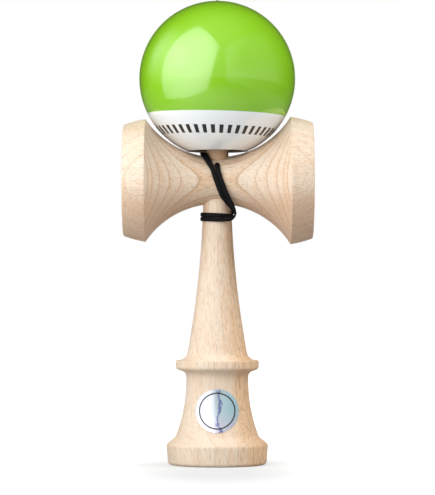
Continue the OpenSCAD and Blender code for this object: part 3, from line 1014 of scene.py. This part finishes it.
foil = Finish("pearly_foil", IOR=1.5)
x, y, z = foil.place()
crinkle = foil.noise(foil.point(x / 1.4, y / 1.4, z / 3.2), 3)
drift = foil.noise(foil.point(x / 4.5 + z / 8, y / 5, z / 7), 2)
tint = foil.mix(x.ramp(-3.5, 5.5) * 0.75 + drift * 0.25, SILVER, SKY)
tint = foil.mix(z.ramp(SEAL_Z + 1, SEAL_Z - 7) * 0.6, tint, LILAC)
from_crease = (x - CREASE_X + (crinkle - 0.5) * 5 + (drift - 0.5) * 4).apply("ABSOLUTE")
tint = foil.mix(from_crease.ramp(0.75, 0.2) * 0.8, tint, CREASE)
off_centre = (x ** 2 + (z - SEAL_Z) ** 2).apply("SQRT")
ring_line = off_centre.ramp(*RING_INNER) * off_centre.ramp(*RING_OUTER)
foil.feed(Base_Color=foil.mix(ring_line, tint, INK), Metallic=FOIL_METAL - ring_line * FOIL_METAL)
foil.feed(Roughness=0.22 + drift * 0.14)
foil.bump(crinkle, 0.05, 0.4)
print("foil")

# %% [markdown]
# ## Who moves with whom
# Each new surface takes the place of its piece in the frame and rides on that piece's body. The cord's
# climb up the ball rides on the bead's body. The strung cord and the hanging loop are laid in place
# and ride on no body.

# %% Ride and replace
def dress(piece, node, body, material):
    """Puts a piece in the place of its node, on its body, in its material."""
    if not piece.data.materials:
        piece.data.materials.append(material)
    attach(piece, body)
    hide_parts(node)


dress(handle, "handle", "handle", handle_wood)
dress(crosspiece, "crosspiece", "crosspiece", cross_wood)
dress(ball, "ball", "ball", None)
dress(seal, "foil_seal", "handle", foil.material)
dress(string_bead, "string_bead", "bead", plastic.material)
dress(ball_knot, "ball_knot", "bead", yarn.material)
dress(spike_knot, "anchor_knot", "handle", yarn.material)

for piece in (cord_strung, cord_hanging):
    piece.data.materials.append(yarn.material)
dress(cord_climb, "string_slack", "bead", yarn.material)
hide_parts("string_lead", "string_turns", "string_rise")
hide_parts("string_slack")
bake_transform(cord_strung)
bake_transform(cord_hanging)
print("ten pieces dressed")

PATH_EVERY = 4


def declare_cord(line):
    """Takes every fourth point of the line and the last one, in metres, and does nothing with
    them."""
    path = line[::PATH_EVERY]
    if len(line) % PATH_EVERY != 1:
        path = np.vstack([path, line[-1:]])
    path = path * MM


declare_cord(strung)
declare_cord(loop)
declare_cord(climb)

# %% [markdown]
# ## The floor
# The toy stands on white paper. White paper under a lamp would throw too much light back up, so the
# paper's own colour is a mid grey, darker to the right, and its white is a glow that only the camera
# sees, and gloss that looks at the paper behind the toy. The glow is a little grey near the toy, and
# darker in an oval in front of the foot, which is a painted shadow of the toy.

# %% Floor
FLOOR_SIZE = 6
PAPER_GREY = (0.43, 0.43, 0.43)
PAPER_SPECK = (0.45, 0.45, 0.45)
PAPER_RIGHT = (0.1, 0.1, 0.1)
GLOW_NEAR = (0.84, 0.84, 0.84)
GLOW_FAR = (1, 1, 1)
GLOW_SHADE = (0.31, 0.325, 0.335)
NO_GLOW = (0, 0, 0)
SHADE_FORWARD = 48

floor_corners = np.array([[-1, -1, 0], [1, -1, 0], [1, 1, 0], [-1, 1, 0]]) * FLOOR_SIZE / 2
floor = link_mesh("floor", floor_corners, [[0, 1, 2, 3]])
paper = Finish("white_paper", Roughness=0.9, Specular_IOR_Level=0.0, Emission_Strength=1.0)
x, y, z = paper.place()
speck = paper.noise(paper.point(x / 3, y / 3, z), 3)
table = paper.mix(speck, PAPER_GREY, PAPER_SPECK)
paper.feed(Base_Color=paper.mix(x.ramp(40, 240) * 0.5, table, PAPER_RIGHT))
camera_ray, shiny_ray = paper.seen_as_backdrop()
far = (x ** 2 + y ** 2).apply("SQRT").ramp(120, 420)
# A painted shadow: the glow turns to GLOW_SHADE in an oval in front of the foot.
under = ((x * 2) ** 2 + (y + SHADE_FORWARD) ** 2).apply("SQRT").ramp(140, 15)
behind = y.ramp(0, 300) * (x.apply("ABSOLUTE") - y * 0.25).ramp(120, 0)
sweep = paper.mix(under, paper.mix(far, GLOW_NEAR, GLOW_FAR), GLOW_SHADE)
paper.feed(Emission_Color=paper.mix(camera_ray + shiny_ray * far * behind, NO_GLOW, sweep))
floor.data.materials.append(paper.material)
print("floor", FLOOR_SIZE, "m wide")

# %% [markdown]
# ## The lamps
# Four softboxes light the toy: a bright one in front at the left, a weak wide one at the right, one
# above the right side and one behind. A sun or a point lamp would make hard shadows and a dot in the
# gloss. The place of the bright one can be read off the ball: each corner of its patch is a mirrored
# ray, and a rectangle that meets four such rays is the lamp.

# %% Softboxes
def softbox(name, centre, right, up, width, height, radiance, fade, mirrored=True):
    """A rectangle lamp. Its power is its brightness times its area and pi, and fade gives how the
    brightness changes over its cloth, from 0 to 1 across it and up it. A lamp that isn't mirrored
    leaves no patch in gloss."""
    data = bpy.data.lights.new(name, "AREA")
    data.shape = "RECTANGLE"
    data.size = width
    data.size_y = height
    data.energy = radiance * width * height * math.pi
    data.use_nodes = True
    cloth = Graph(data.node_tree)
    u, v, _ = cloth.axes(cloth.node("ShaderNodeNewGeometry", output="Parametric"))
    cloth.put(data.node_tree.nodes["Emission"].inputs["Strength"], fade(u, v))
    lamp = bpy.data.objects.new(name, data)
    right = Vector(right).normalized()
    up = (Vector(up) - right * right.dot(Vector(up))).normalized()
    turned_to = Matrix((right, up, right.cross(up))).transposed().to_4x4()
    lamp.matrix_world = Matrix.Translation(centre) @ turned_to
    lamp.visible_camera = False
    lamp.visible_glossy = mirrored
    bpy.context.scene.collection.objects.link(lamp)


def bulb_behind(u, v):
    """Brightest in the middle, where the bulb is: 1 - 1.6 times the distance squared, and never under
    0.25."""
    glow = 1 - 1.6 * ((u - 0.5) ** 2 + (v - 0.5) ** 2)
    return glow.math("MAXIMUM", glow, 0.25)


def bulb_at_side(u, v):
    """Falls evenly from one side to the other."""
    return 1 - 0.95 * u


softbox("key_left", centre=(-0.136, -0.226, 0.290), right=(0.199, -0.383, -0.068),
        up=(0.139, -0.031, 0.588), width=0.437, height=0.604, radiance=2.4, fade=bulb_behind)
softbox("fill_right", centre=(0.42, -0.33, 0.44), right=(0.45, 1.05, 0), up=(0, 0, 1),
        width=1.14, height=0.84, radiance=0.42, fade=bulb_at_side)
softbox("side_right", centre=(0.46, -0.04, 0.42), right=(0.09, 1, 0), up=(-0.3, 0, 0.46),
        width=0.6, height=0.45, radiance=4.2, fade=bulb_behind, mirrored=False)
softbox("behind", centre=(-0.15, 0.75, 0.45), right=(-1, -0.2, 0), up=(0, 0.3, 1),
        width=0.9, height=0.7, radiance=1.0, fade=bulb_behind, mirrored=False)
print("four softboxes")

# %% [markdown]
# ## The studio
# The rest of the room fills the shadows and shows in the gloss. One even grey would make the ball look
# flat, so the room is mid grey in front, bright at the left and dark behind and at the upper right. The
# camera sees plain white instead, and so does gloss that looks straight back at the backdrop.

# %% Studio
STUDIO_FRONT = (0.50, 0.47, 0.44)
STUDIO_LEFT = (1.15, 1.14, 1.12)
STUDIO_BACK = (0.06, 0.05, 0.042)
BACKDROP = (1, 1, 1)

world = bpy.data.worlds.new("studio")
bpy.context.scene.world = world
world.use_nodes = True
studio = Graph(world.node_tree)
across, depth, height = studio.axes(studio.node("ShaderNodeTexCoord", output="Generated"))
camera_ray, shiny_ray = studio.seen_as_backdrop()
room = studio.mix(depth.ramp(-0.4, 0.7), STUDIO_FRONT, STUDIO_BACK)
right = across.ramp(0.2, 0.7) * height.ramp(0.0, 0.4)
left = across.ramp(-0.5, -0.9) * depth.ramp(0.7, 0.3) * height.ramp(-0.1, 0.5)
room = studio.mix(right * 0.75, room, STUDIO_BACK)
room = studio.mix(left, room, STUDIO_LEFT)
backdrop = (camera_ray + shiny_ray * depth.ramp(0.955, 0.975)).ramp(0.0, 1.0)
studio.put(world.node_tree.nodes["Background"].inputs["Color"], studio.mix(backdrop, room, BACKDROP))
bpy.context.scene.view_settings.view_transform = "Standard"
print("a pale studio, darker behind the toy")
